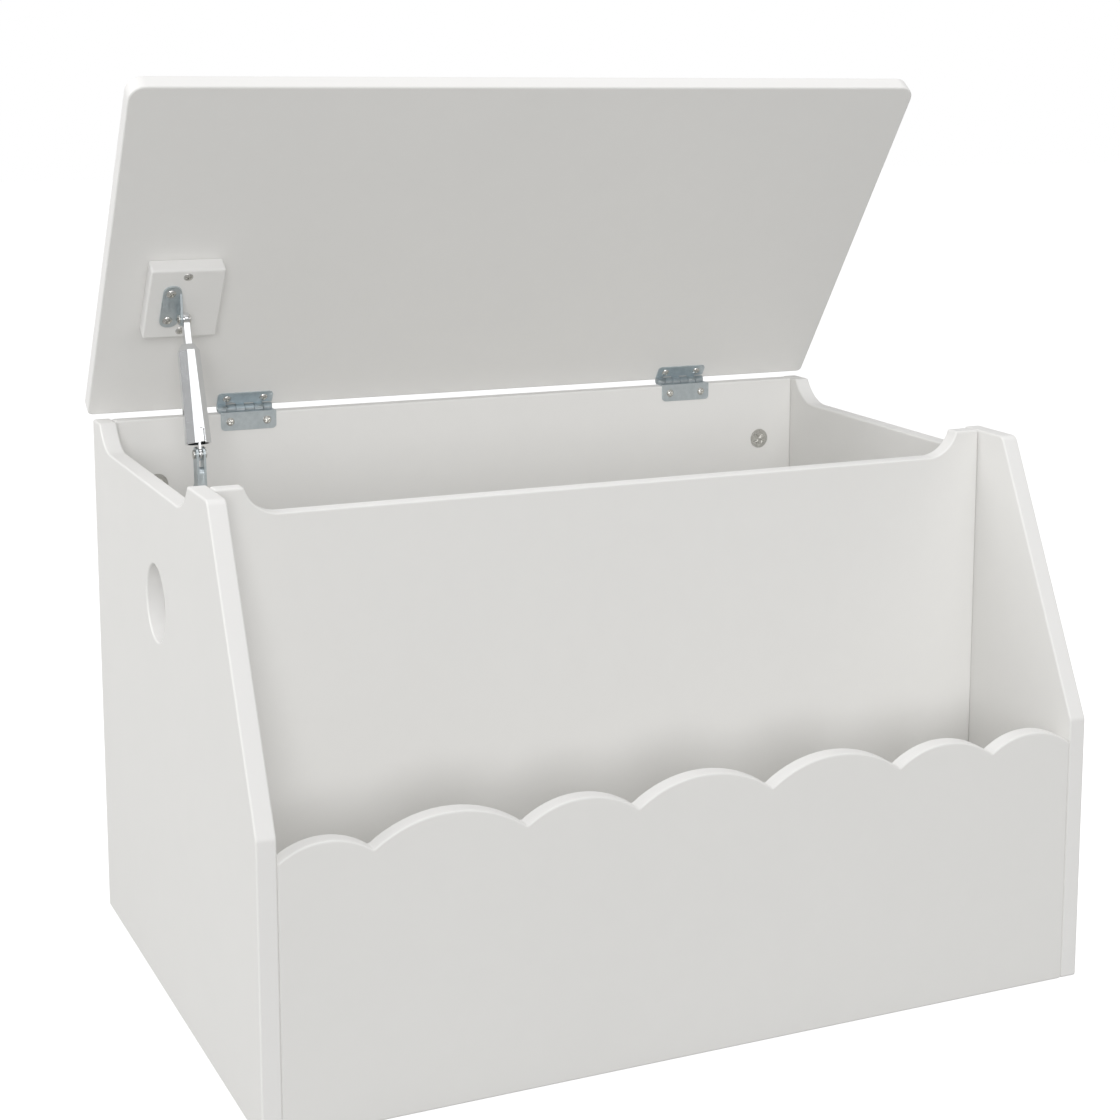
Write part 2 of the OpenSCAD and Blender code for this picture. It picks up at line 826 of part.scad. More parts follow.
left_side_panel();
right_side_panel();
back_panel();
divider_panel();
front_panel();
floor_panel();
back_cam_locks();
divider_cam_locks();
front_cam_locks();
cam_bolts();
wooden_dowels();
left_hinge_body_leaf();
right_hinge_body_leaf();
hinge_body_screws();
left_hinge_pin();
right_hinge_pin();
lid_panel();
left_hinge_lid_leaf();
right_hinge_lid_leaf();
hinge_lid_screws();
stay_block();
stay_block_screws();
stay_lid_bracket();
stay_lid_bracket_screws();
stay_lid_stud();
stay_strap();
stay_cover();
stay_inner_bar();
stay_elbow_rivet();
stay_lower_arm();
stay_side_bracket();
stay_side_bracket_screws();
stay_side_stud();
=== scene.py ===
import json
from math import pi, radians

import bmesh
import bpy
import numpy as np
from bpy.props import FloatProperty, FloatVectorProperty, PointerProperty
from bpy.types import Operator, Panel, PropertyGroup
from mathutils import Matrix, Vector
from mathutils.geometry import tessellate_polygon


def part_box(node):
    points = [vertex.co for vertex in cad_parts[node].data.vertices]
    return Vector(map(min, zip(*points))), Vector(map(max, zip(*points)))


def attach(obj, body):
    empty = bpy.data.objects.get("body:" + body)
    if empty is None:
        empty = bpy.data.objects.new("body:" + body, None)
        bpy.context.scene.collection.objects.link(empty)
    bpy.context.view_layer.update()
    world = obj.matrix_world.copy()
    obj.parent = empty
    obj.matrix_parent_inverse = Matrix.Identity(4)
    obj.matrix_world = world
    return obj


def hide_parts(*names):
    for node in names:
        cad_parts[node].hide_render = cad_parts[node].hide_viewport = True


bl_info = {
    "name": "Storage bench with book pocket",
    "version": (1, 0, 0),
    "blender": (4, 5, 0),
    "location": "3D View > Sidebar > Bench",
    "description": "Painted boards, hinges and a lid stay for a toy storage bench",
    "category": "Object",
}

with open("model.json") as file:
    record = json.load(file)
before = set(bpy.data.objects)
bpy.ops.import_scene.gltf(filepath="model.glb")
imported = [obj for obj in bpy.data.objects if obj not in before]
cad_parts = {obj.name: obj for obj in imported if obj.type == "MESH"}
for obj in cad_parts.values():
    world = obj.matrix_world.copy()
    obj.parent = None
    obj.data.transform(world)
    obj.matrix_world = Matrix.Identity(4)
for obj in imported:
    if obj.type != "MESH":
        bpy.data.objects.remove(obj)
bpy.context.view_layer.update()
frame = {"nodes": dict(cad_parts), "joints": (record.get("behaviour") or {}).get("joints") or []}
MM = 0.001
METAL = {"Metallic": 1.0}
# Widths of the wavy edge's lobes from left to right, and each lobe's rise over its width.
LOBE_SHARES = (56, 94, 72, 91, 92, 70, 61)
LOBE_RISE = 0.17
# Room round a cam lock in its pocket, and the round on the pocket's lip.
CAM_PLAY = 0.06 * MM
POCKET_ROUND = 0.25 * MM
# Round left on the edges of the metal pieces.
BROKEN_EDGE = 0.15 * MM


def linear(hex_colour):
    """An sRGB hex colour as linear red, green and blue."""
    srgb = np.array([int(hex_colour[i : i + 2], 16) / 255 for i in (1, 3, 5)])
    return tuple(np.where(srgb <= 0.04045, srgb / 12.92, ((srgb + 0.055) / 1.055) ** 2.4))


def length(name, description, millimetres):
    """A size, given in millimetres and kept in metres."""
    return FloatProperty(
        name=name, description=description, default=millimetres * MM, unit="LENGTH", precision=4
    )


def turn(name, description, degrees):
    """An angle, given in degrees and kept in radians."""
    return FloatProperty(name=name, description=description, default=radians(degrees), subtype="ANGLE")


def amount(name, description, value):
    """A plain number from nought up."""
    return FloatProperty(name=name, description=description, default=value, min=0)


def watts(name, description, power):
    """The power of a light."""
    return FloatProperty(name=name, description=description, default=power, min=0, subtype="POWER")


def spot(name, description, metres):
    """A place in the scene."""
    return FloatVectorProperty(name=name, description=description, default=metres, subtype="TRANSLATION")


def paint_pot(name, description, hex_colour):
    """A colour, given as sRGB hex and kept linear."""
    return FloatVectorProperty(
        name=name, description=description, default=linear(hex_colour), subtype="COLOR", min=0, max=1
    )


# ---- What a user would change ----


class BenchSizes(PropertyGroup):
    edge_round: length("Edge round", "Radius on every long edge of a board", 1.4)
    corner_ease: length("Corner ease", "Radius on the corners of a board's outline", 1.8)
    shoulder_round: length("Shoulder round", "Radius where the shoulder turns into the slope", 6)
    front_rise: length("Front rise", "Upright part of a side panel's front edge", 180)
    slope_run: length("Slope run", "How far the sloped front edge leans back", 90)
    scoop_depth: length("Scoop depth", "Depth of the scooped edges", 17)
    side_scoop_run: length("Side scoop run", "Length of the curves of a side panel's scoop", 28)
    divider_scoop_run: length("Divider scoop run", "Length of the curves of the divider's scoop", 20)
    curve_ease: length("Curve ease", "How far each curve is rising where it leaves the level edge", 2)
    rear_flat: length("Rear flat", "Flat at the rear of a side panel's top edge", 22)
    shoulder_behind: length("Shoulder behind", "Reach of the shoulder behind the divider", 5)
    divider_corner: length("Divider corner", "Width of the divider's raised corners", 18)
    valley_height: length("Valley height", "Height of the low points of the wavy edge", 165)
    hand_hole: length("Hand hole", "Diameter of the hand holes", 50)
    hand_hole_drop: length("Hand hole drop", "From the top corners down to the hand hole", 92)
    hand_hole_set: length("Hand hole set", "From the rear edge to the hand hole", 177)
    lid_open: turn("Lid open", "Opening angle of the lid as stored", 54.3)
    lid_corner: length("Lid front corner", "Radius of the lid's front corners", 11)
    lid_rear_corner: length("Lid rear corner", "Radius of the lid's rear corners", 4)
    lid_tail: length("Lid tail", "How far the lid passes the hinge axis", 1.5)
    lid_rise: length("Lid rise", "From the hinge axis up to the shut lid's underside", 2.6)
    lid_nose: length("Lid nose", "How far the lid passes the divider when shut", 1)
    board: length("Board", "Thickness of the boards", 12)
    cam: length("Cam lock", "Diameter of the cam locks", 15)
    cam_depth: length("Cam depth", "Depth of the cam locks' pockets", 8.8)
    block_set: length("Block set", "From the hinge axis to the stay's block", 80)
    block_length: length("Block length", "Length of the stay's block along the lid", 60)


class BenchColours(PropertyGroup):
    paint: paint_pot("Paint", "Off-white paint on the boards", "#ecebe8")
    # The edges' colour is lighter than the faces' as a painted highlight where light catches the cut edges
    # and tops.
    paint_edge: paint_pot("Paint on edges", "The same paint on the cut edges, laid on thicker", "#f1f0ee")
    zinc: paint_pot("Zinc", "Blue-passivated zinc plate", "#c9d3d8")
    zinc_dull: paint_pot("Dull zinc", "Zinc where it has been handled", "#bac5ca")
    die_cast: paint_pot("Die-cast zinc", "Bare zinc alloy of the cam locks and screw heads", "#cfcec9")
    chrome: paint_pot("Chrome", "Bright chrome plate", "#dfe1e3")
    beech: paint_pot("Beech", "Bare beech", "#d9b88a")
    beech_fleck: paint_pot("Beech fleck", "The short dark flecks of beech", "#b48a5a")
    floor: paint_pot("Floor", "The studio floor", "#8f8f8d")


class BenchStage(PropertyGroup):
    lens: amount("Lens", "Focal length in millimetres", 72.31)
    frame_shift: FloatVectorProperty(
        name="Frame shift", description="Shift of the frame, across and up", default=(-0.125, -0.125), size=2
    )
    camera_at: spot("Camera", "Place of the camera", (-0.5942, -1.3782, 0.6148))
    camera_azimuth: turn("Azimuth", "Turn of the camera round the bench", -26.581)
    camera_height: turn("Elevation", "Angle of the camera above the horizon", 9.354)
    camera_roll: turn("Roll", "Tilt of the camera about its own axis", 0.553)
    gamma: amount("Gamma", "Evens out bright and shaded faces", 1.3)
    horizon: amount("Horizon", "Light from the pale cove all round", 0.46)
    sky: amount("Sky", "Light from the ceiling", 0.28)
    floor_glow: amount("Floor glow", "How white the floor is kept", 1.0)
    front: amount("Front light", "Strength of the broad light from beside the camera", 1.06)
    front_height: turn("Front light's height", "Angle of the front light above the horizon", 12)
    front_side: turn("Front light's side", "Turn of the front light towards the left", 17)
    front_spread: turn("Front light's spread", "Angle across the front light", 24)
    top: watts("Top light", "Power of the light overhead", 14)
    top_at: spot("Top light's place", "Middle of the light overhead", (0.1, -0.35, 2.3))
    left: watts("Left light", "Power of the light on the left", 98)
    left_at: spot("Left light's place", "Middle of the light on the left", (-3.8, 0.9, 2.0))
    card: watts("Card", "Power of the card that the chrome mirrors", 7)
    card_at: spot("Card's place", "Middle of the card", (0.47, -2.46, 1.77))


def sizes():
    return bpy.context.scene.bench_sizes


def colours():
    return bpy.context.scene.bench_colours


# ---- Outlines: rows of points in a board's own plane, counter-clockwise ----


def arc(centre, radius, start, end, steps=14):
    """Points at even angles from start to end on a circle."""
    angle = np.linspace(start, end, steps)
    return np.array(centre) + radius * np.stack([np.cos(angle), np.sin(angle)], 1)


def scoop(first, last, top, depth, run, ease):
    """From last back to first: a quarter-like arc down, a level edge, and the same arc up.

    Each arc ends in the corner at the top, and its circle passes `ease` beyond the
    point where it meets the level edge, so height follows from run, depth and ease.
    """
    rise = ((run + ease) ** 2 + depth**2 - ease**2) / (2 * depth)
    radius = np.hypot(ease, rise)
    low = -pi / 2 + np.arctan2(ease, rise)
    high = -pi / 2 + np.arcsin((run + ease) / radius)
    right = arc((last - run - ease, top - depth + rise), radius, high, low)
    left = arc((first + run + ease, top - depth + rise), radius, pi - low, pi - high)
    return np.concatenate([right, left])


def wave(left, right, valley, shares, rise_share):
    """From right back to left: a row of circular arcs over shares of the width.

    Each arc rises above its valleys by rise_share of its own width w, so its
    radius is (w squared / 4 + rise squared) / (2 rise).
    """
    edges = right - (right - left) * np.cumsum([0, *shares[::-1]]) / sum(shares)
    width = edges[:-1] - edges[1:]
    rise = width * rise_share
    radius = (width**2 / 4 + rise**2) / (2 * rise)
    half = np.arcsin(width / 2 / radius)
    along = np.linspace(-1, 1, 18)[None, :] * half[:, None]
    x = (edges[:-1] + edges[1:])[:, None] / 2 - radius[:, None] * np.sin(along)
    z = valley + (rise - radius)[:, None] + radius[:, None] * np.cos(along)
    points = np.stack([x, z], 2)
    return np.concatenate([points[:, :-1].reshape(-1, 2), points[-1, -1:]])


def eased(points, radius, steps=5):
    """The closed outline with every corner over 17 degrees replaced by an arc.

    An arc touches both sides of its corner at radius * tan(half the turn).
    """
    radius = np.broadcast_to(radius, len(points))
    before = points - np.roll(points, 1, 0)
    after = np.roll(points, -1, 0) - points
    room = np.minimum(np.linalg.norm(before, axis=1), np.linalg.norm(after, axis=1))
    before /= np.linalg.norm(before, axis=1)[:, None]
    after /= np.linalg.norm(after, axis=1)[:, None]
    bend = np.arctan2(before[:, 0] * after[:, 1] - before[:, 1] * after[:, 0], (before * after).sum(1))
    reach = np.minimum(radius * np.tan(np.abs(bend) / 2), room * 0.49)
    radius = reach / np.maximum(np.tan(np.abs(bend) / 2), 1e-9)
    side = np.sign(bend)[:, None] * np.stack([-before[:, 1], before[:, 0]], 1)
    centre = points - before * reach[:, None] + side * radius[:, None]
    angle = np.abs(bend)[:, None] * np.linspace(0, 1, steps)
    curve = (
        centre[:, None]
        - side[:, None] * (radius[:, None] * np.cos(angle))[..., None]
        + before[:, None] * (radius[:, None] * np.sin(angle))[..., None]
    )
    plain = np.abs(bend) < 0.3
    curve[plain] = points[plain, None]
    keep = ~plain[:, None] | (np.arange(steps) == 0)
    return curve[keep]


def inward(points):
    """Unit mitre vectors of a closed outline, pointing to its left, which is into the board."""
    side = np.roll(points, -1, 0) - points
    side /= np.linalg.norm(side, axis=1)[:, None]
    normal = np.stack([-side[:, 1], side[:, 0]], 1)
    last = np.roll(normal, 1, 0)
    return (normal + last) / (1 + (normal * last).sum(1))[:, None]


def circle(centre, radius, steps=48):
    """A round hole's outline, clockwise, so that the board is on its left."""
    return arc(centre, radius, 2 * pi, 2 * pi / steps, steps)


# ---- Boards: an edge profile carried round each outline, and two flat faces ----


def loft(points, profile):
    """A grid of points: row k is the outline moved in by profile[k, 0], at depth profile[k, 1]."""
    into = inward(points)
    flat = points[None] + into[None] * profile[:, None, :1]
    depth = np.broadcast_to(profile[:, None, 1:], flat.shape[:2] + (1,))
    return np.concatenate([flat, depth], 2)


def edge_profile(low, high, r, steps=5):
    """Quarter round at the low face, straight wall, quarter round at the high face."""
    t = np.linspace(0, pi / 2, steps)
    down = np.stack([r * (1 - np.sin(t)), low + r * (1 - np.cos(t))], 1)
    return np.concatenate([down, (down * [1, -1] + [0, low + high])[::-1]])


def pocket_profile(mouth, floor, r, steps=4):
    """Quarter round at the mouth, then a straight wall down to the pocket's floor."""
    t = np.linspace(0, pi / 2, steps)
    way = np.sign(floor - mouth)
    lip = np.stack([r * (1 - np.sin(t)), mouth + way * r * (1 - np.cos(t))], 1)
    return np.concatenate([lip, [[0, floor]]])


def board(name, outline, low, high, place, material, holes=(), pockets=(), pocket_floor=None):
    """A board with rounded edges, closed all round.

    outline and holes are loops in the board's plane; low and high are the depths of
    its faces; place turns (a, b, depth) into x, y, z. Pockets are loops open on the
    high face when pocket_floor is below it and on the low face when it is above.
    """
    r = sizes().edge_round
    profile = edge_profile(low, high, r)
    grids = [loft(loop, profile) for loop in (outline, *holes)]
    mouth = low if pockets and pocket_floor > (low + high) / 2 else high
    wells = [loft(loop, pocket_profile(mouth, pocket_floor, POCKET_ROUND)) for loop in pockets]
    points, faces, starts = [], [], []
    for grid in grids + wells:
        rows, count = grid.shape[:2]
        start = sum(len(p) for p in points)
        starts.append(start)
        points.append(grid.reshape(-1, 3))
        at = start + np.arange(rows * count).reshape(rows, count)
        ahead = np.roll(at, -1, 1)
        quads = np.stack([at[:-1], ahead[:-1], ahead[1:], at[1:]], 2)
        faces += quads.reshape(-1, 4).tolist()
    for face, row in ((low, 0), (high, -1)):
        loops, index = [], []
        for grid, start in zip(grids, starts):
            rows, count = grid.shape[:2]
            loops.append(grid[row])
            index.append(start + (row % rows) * count + np.arange(count))
        if face == mouth:
            for grid, start in zip(wells, starts[len(grids) :]):
                loops.append(grid[0])
                index.append(start + np.arange(grid.shape[1]))
        index = np.concatenate(index)
        flat = [[Vector((p[0], p[1], 0)) for p in loop] for loop in loops]
        faces += index[np.array(tessellate_polygon(flat))].tolist()
    for grid, start in zip(wells, starts[len(grids) :]):
        rows, count = grid.shape[:2]
        faces.append((start + (rows - 1) * count + np.arange(count)).tolist())
    flat_points = np.concatenate(points)
    mesh = bpy.data.meshes.new(name)
    mesh.from_pydata((flat_points @ np.array(place[0]).T + np.array(place[1])).tolist(), [], faces)
    work = bmesh.new()
    work.from_mesh(mesh)
    bmesh.ops.recalc_face_normals(work, faces=work.faces)
    work.to_mesh(mesh)
    work.free()
    # Share of each point on the rounded edge wall: it lightens the paint there as a painted highlight, and
    # makes the cut edges drier and furred.
    edge_highlight_and_fur = mesh.attributes.new("board_edge", "FLOAT", "POINT")
    wall = np.minimum(flat_points[:, 2] - low, high - flat_points[:, 2]) / r
    edge_highlight_and_fur.data.foreach_set("value", np.clip(wall, 0, 1).astype(np.float32))
    return shown(name, mesh, material)


def shown(name, mesh, material):
    """A smooth-shaded object whose large flat faces stay flat."""
    mesh.shade_smooth()
    mesh.materials.append(material)
    piece = bpy.data.objects.new(name, mesh)
    bpy.context.scene.collection.objects.link(piece)
    flats = piece.modifiers.new("Flat faces", "WEIGHTED_NORMAL")
    flats.weight = 100
    flats.keep_sharp = True
    return piece


# Rows of each matrix give x, y and z from a board's own a, b and depth.
ACROSS_X = (((0, 0, 1), (1, 0, 0), (0, 1, 0)), (0, 0, 0))
ACROSS_Y = (((1, 0, 0), (0, 0, 1), (0, 1, 0)), (0, 0, 0))
FLAT = (((1, 0, 0), (0, 1, 0), (0, 0, 1)), (0, 0, 0))


def lid_place():
    """From the shut lid, measured from the hinge axis, to the lid turned open."""
    hinge = next(j for j in frame["joints"] if j["name"] == "lid_hinge")["pos_m"]
    turned = Matrix.Rotation(-sizes().lid_open, 3, "X")
    return ([tuple(row) for row in turned], (0, hinge[1], hinge[2]))


def stand_for(piece, node, body):
    """A painted board moves with a body and is shown in place of a CAD node."""
    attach(piece, body)
    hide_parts(node)


# ---- Materials ----


def add(tree, kind, settings=None, links=None, **attributes):
    """A new node: attributes set on it, settings on its sockets, links into its sockets."""
    node = tree.nodes.new(kind)
    for key, value in attributes.items():
        setattr(node, key, value)
    for key, value in (settings or {}).items():
        node.inputs[key].default_value = value
    for key, source in (links or {}).items():
        tree.links.new(source, node.inputs[key])
    return node


def blank(name):
    """A new material, its empty node tree and the object coordinates."""
    material = bpy.data.materials.new(name)
    material.use_nodes = True
    tree = material.node_tree
    tree.nodes.clear()
    place = add(tree, "ShaderNodeTexCoord").outputs["Object"]
    return material, tree, place


def rgba(colour):
    return (*colour, 1.0)


def blend(tree, first, second, share):
    """The socket of a colour that passes from the first to the second by a share."""
    mix = add(tree, "ShaderNodeMix", {6: rgba(first), 7: rgba(second)}, {"Factor": share}, data_type="RGBA")
    return mix.outputs["Result"]


def tinted(tree, colour, level):
    """The socket of a colour, fixed or from a socket, darkened by a level."""
    fixed = not isinstance(colour, bpy.types.NodeSocket)
    settings, links = ({0: colour}, {}) if fixed else ({}, {0: colour})
    product = add(tree, "ShaderNodeVectorMath", settings, {**links, 1: level}, operation="MULTIPLY")
    return product.outputs[0]


def ranged(tree, source, low, high):
    """The socket of a texture's 0 to 1 carried over to low to high."""
    span = add(tree, "ShaderNodeMapRange", {"To Min": low, "To Max": high}, {"Value": source})
    return span.outputs[0]


def bumped(tree, height, strength, distance):
    """The socket of a normal raised by a height."""
    relief = add(tree, "ShaderNodeBump", {"Strength": strength, "Distance": distance}, {"Height": height})
    return relief.outputs[0]


def surfaced(material, tree, settings, links):
    """Ends a material with one shader."""
    shader = add(tree, "ShaderNodeBsdfPrincipled", settings, links)
    add(tree, "ShaderNodeOutputMaterial", {}, {"Surface": shader.outputs[0]})
    return material


def painted_fibreboard():
    """Medium-density fibreboard with sprayed satin acrylic: even colour on the faces, faint orange peel about
    1.5 mm across on the faces, a drier, slightly furred skin on the cut edges, and a lighter colour there as
    a painted highlight."""
    material, tree, place = blank("painted_fibreboard")
    pots = colours()
    edge = add(tree, "ShaderNodeAttribute", attribute_name="board_edge").outputs["Fac"]
    # Slow drift of the coat's thickness over a hand's width.
    drift = add(tree, "ShaderNodeTexNoise", {"Scale": 9, "Detail": 3, "Roughness": 0.5}, {"Vector": place})
    cloud = add(tree, "ShaderNodeTexNoise", {"Scale": 70, "Detail": 4, "Roughness": 0.6}, {"Vector": place})
    both = add(tree, "ShaderNodeMath", {}, {0: drift.outputs[0], 1: cloud.outputs[0]}, operation="ADD")
    tone = add(tree, "ShaderNodeMapRange", {"From Min": 0.7, "From Max": 1.3, "To Min": 0.985, "To Max": 1.0},
               {"Value": both.outputs[0]})
    # The cut edges are blended to a lighter paint colour: a painted highlight where light catches them.
    paint_and_edge_highlight = blend(tree, pots.paint, pots.paint_edge, edge)
    shade = tinted(tree, paint_and_edge_highlight, tone.outputs[0])
    # Orange peel of the sprayed coat.
    peel = add(tree, "ShaderNodeTexNoise", {"Scale": 650, "Detail": 2, "Roughness": 0.45}, {"Vector": place})
    # Fibres raised along the cut edge, drawn out along the board's layers.
    fur = add(tree, "ShaderNodeTexNoise", {"Scale": 1600, "Detail": 4, "Roughness": 0.7}, {"Vector": place})
    relief = add(tree, "ShaderNodeMix", {}, {"Factor": edge, "A": peel.outputs[0], "B": fur.outputs[0]},
                 data_type="FLOAT")
    sheen = ranged(tree, cloud.outputs[0], 0.40, 0.50)
    dry = add(tree, "ShaderNodeMath", {1: 0.10}, {0: edge}, operation="MULTIPLY")
    rough = add(tree, "ShaderNodeMath", {}, {0: sheen, 1: dry.outputs[0]}, operation="ADD")
    normal = bumped(tree, relief.outputs["Result"], 0.18, 0.12 * MM)
    return surfaced(material, tree, {"IOR": 1.48, "Metallic": 0.0},
                    {"Base Color": shade, "Roughness": rough.outputs[0], "Normal": normal})


def zinc_plated_steel():
    """Pressed mild steel, barrel-plated with zinc and blue-passivated: a cool grey metal, half
    bright, clouded at 2 to 5 mm with duller patches, and fine tumbling scratches."""
    material, tree, place = blank("zinc_plated_steel")
    pots = colours()
    clouds = add(tree, "ShaderNodeTexNoise", {"Scale": 260, "Detail": 5, "Roughness": 0.6}, {"Vector": place})
    patch = add(tree, "ShaderNodeMapRange", {"From Min": 0.35, "From Max": 0.65},
                {"Value": clouds.outputs[0]})
    plate = blend(tree, pots.zinc, pots.zinc_dull, patch.outputs[0])
    rough = ranged(tree, clouds.outputs[0], 0.26, 0.42)
    # Tumbling scratches: stretched noise, about 0.2 mm wide and 2 mm long, coarser than real.
    stretch = add(tree, "ShaderNodeMapping", {"Scale": (400, 5000, 5000), "Rotation": (0.3, 0.5, 0.2)},
                  {"Vector": place})
    scratch = add(tree, "ShaderNodeTexNoise", {"Scale": 1, "Detail": 2}, {"Vector": stretch.outputs[0]})
    normal = bumped(tree, scratch.outputs[0], 0.15, 0.05 * MM)
    return surfaced(material, tree, METAL, {"Base Color": plate, "Roughness": rough, "Normal": normal})


def die_cast_zinc():
    """Zinc alloy cast in a steel die and tumbled: warm pale grey, half bright, with a fine sandy
    skin about 0.5 mm across and faint stains at 3 mm."""
    material, tree, place = blank("die_cast_zinc")
    skin = add(tree, "ShaderNodeTexNoise", {"Scale": 1800, "Detail": 3, "Roughness": 0.6}, {"Vector": place})
    stain = add(tree, "ShaderNodeTexNoise", {"Scale": 300, "Detail": 3}, {"Vector": place})
    shade = tinted(tree, colours().die_cast, ranged(tree, stain.outputs[0], 0.88, 1.0))
    rough = ranged(tree, skin.outputs[0], 0.18, 0.36)
    normal = bumped(tree, skin.outputs[0], 0.2, 0.05 * MM)
    return surfaced(material, tree, METAL, {"Base Color": shade, "Roughness": rough, "Normal": normal})


def chrome_plated_steel():
    """Folded steel, polished and chrome-plated: mirror bright, with faint waviness from the
    press at 8 mm and hairlines from wiping."""
    material, tree, place = blank("chrome_plated_steel")
    press = add(tree, "ShaderNodeTexNoise", {"Scale": 120, "Detail": 1}, {"Vector": place})
    stretch = add(tree, "ShaderNodeMapping", {"Scale": (6000, 700, 500)}, {"Vector": place})
    hair = add(tree, "ShaderNodeTexNoise", {"Scale": 1, "Detail": 3, "Roughness": 0.7},
               {"Vector": stretch.outputs[0]})
    rough = ranged(tree, hair.outputs[0], 0.05, 0.16)
    shade = tinted(tree, colours().chrome, ranged(tree, press.outputs[0], 0.93, 1.0))
    normal = bumped(tree, press.outputs[0], 0.25, 0.2 * MM)
    return surfaced(material, tree, METAL, {"Base Color": shade, "Roughness": rough, "Normal": normal})


def turned_beech():
    """Fluted beech dowel, left bare: pale straw wood with short dark flecks along the grain."""
    material, tree, place = blank("turned_beech")
    pots = colours()
    stretch = add(tree, "ShaderNodeMapping", {"Scale": (300, 2500, 2500)}, {"Vector": place})
    fleck = add(tree, "ShaderNodeTexNoise", {"Scale": 1, "Detail": 4, "Roughness": 0.7},
                {"Vector": stretch.outputs[0]})
    dark = add(tree, "ShaderNodeMapRange", {"From Min": 0.5, "From Max": 0.75}, {"Value": fleck.outputs[0]})
    grain = blend(tree, pots.beech, pots.beech_fleck, dark.outputs[0])
    normal = bumped(tree, fleck.outputs[0], 0.3, 0.1 * MM)
    return surfaced(material, tree, {"IOR": 1.5, "Roughness": 0.62}, {"Base Color": grain, "Normal": normal})


def studio_floor():
    """Matt white paper, with the faintest tooth, lit through from behind."""
    material, tree, place = blank("studio_floor")
    tooth = add(tree, "ShaderNodeTexNoise", {"Scale": 900, "Detail": 2}, {"Vector": place})
    glow = bpy.context.scene.bench_stage.floor_glow
    settings = {"Base Color": rgba(colours().floor), "Roughness": 0.9, "IOR": 1.3,
                "Emission Color": (1, 1, 1, 1), "Emission Strength": glow}
    return surfaced(material, tree, settings, {"Normal": bumped(tree, tooth.outputs[0], 0.05, 0.2 * MM)})


def stocked(recipe):
    """The material of that recipe, made once."""
    return bpy.data.materials.get(recipe.__name__) or recipe()


def finish_cad(recipe, *nodes):
    """CAD nodes keep their shape and take the material, with their fine edges broken."""
    for name in nodes:
        piece = frame["nodes"][name]
        piece.data.materials.clear()
        piece.data.materials.append(stocked(recipe))
        weld = piece.modifiers.new("Join triangles", "WELD")
        weld.merge_threshold = 1e-6
        edge = piece.modifiers.new("Broken edges", "BEVEL")
        edge.width = BROKEN_EDGE
        edge.segments = 2
        edge.limit_method = "ANGLE"
        edge.angle_limit = radians(40)
        edge.use_clamp_overlap = True
        edge.harden_normals = False


# ---- The pieces ----


class BENCH_OT_side_panels(Operator):
    """Build the two side panels with their scooped tops, slopes and hand holes"""

    bl_idname = "bench.side_panels"
    bl_label = "Side panels"

    def execute(self, context):
        s = sizes()
        for side in ("left", "right"):
            node = f"{side}_side_panel"
            low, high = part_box(node)
            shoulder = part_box("divider_panel")[1].y + s.shoulder_behind
            top = scoop(shoulder, high.y - s.rear_flat, high.z, s.scoop_depth, s.side_scoop_run, s.curve_ease)
            corners = np.concatenate([
                [(low.y, 0), (high.y, 0), (high.y, high.z)],
                top,
                [(low.y + s.slope_run, high.z), (low.y, s.front_rise)],
            ])
            ease = np.full(len(corners), s.corner_ease)
            ease[-2:] = s.shoulder_round
            hole = circle((high.y - s.hand_hole_set, high.z - s.hand_hole_drop), s.hand_hole / 2, 72)
            panel = board(f"{side}_side_board", eased(corners, ease), low.x, high.x, ACROSS_X,
                          stocked(painted_fibreboard), holes=[hole])
            stand_for(panel, node, "box")
        return {"FINISHED"}


def cam_pockets(node):
    """Round pockets where the four cam locks of a panel are."""
    low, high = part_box(node)
    r = sizes().cam / 2
    spots = [(x, z) for x in (low.x + r, high.x - r) for z in (low.z + r, high.z - r)]
    return [circle(spot, r + CAM_PLAY, 40) for spot in spots]


class BENCH_OT_cross_panels(Operator):
    """Build the back, divider, wavy front and floor panels"""

    bl_idname = "bench.cross_panels"
    bl_label = "Back, divider, front and floor"

    def execute(self, context):
        s = sizes()
        paint = stocked(painted_fibreboard)
        low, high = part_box("back_panel")
        outline = [(low.x, low.z), (high.x, low.z), (high.x, high.z), (low.x, high.z)]
        panel = board("back_board", eased(np.array(outline), s.corner_ease), low.y, high.y, ACROSS_Y, paint,
                      pockets=cam_pockets("back_cam_locks"), pocket_floor=low.y + s.cam_depth)
        stand_for(panel, "back_panel", "box")

        low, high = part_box("divider_panel")
        inset = s.divider_corner
        outline = np.concatenate([
            [(low.x, low.z), (high.x, low.z), (high.x, high.z)],
            scoop(low.x + inset, high.x - inset, high.z, s.scoop_depth, s.divider_scoop_run, s.curve_ease),
            [(low.x, high.z)],
        ])
        panel = board("divider_board", eased(outline, s.corner_ease), low.y, high.y, ACROSS_Y, paint,
                      pockets=cam_pockets("divider_cam_locks"), pocket_floor=high.y - s.cam_depth)
        stand_for(panel, "divider_panel", "box")

        low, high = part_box("front_panel")
        crest = wave(low.x, high.x, s.valley_height, LOBE_SHARES, LOBE_RISE)
        outline = np.concatenate([[(low.x, low.z), (high.x, low.z)], crest])
        panel = board("front_board", eased(outline, s.corner_ease), low.y, high.y, ACROSS_Y, paint,
                      pockets=cam_pockets("front_cam_locks"), pocket_floor=high.y - s.cam_depth)
        stand_for(panel, "front_panel", "box")

        low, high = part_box("floor_panel")
        outline = [(low.x, low.y), (high.x, low.y), (high.x, high.y), (low.x, high.y)]
        panel = board("floor_board", eased(np.array(outline), s.corner_ease), low.z, high.z, FLAT, paint)
        stand_for(panel, "floor_panel", "box")
        return {"FINISHED"}


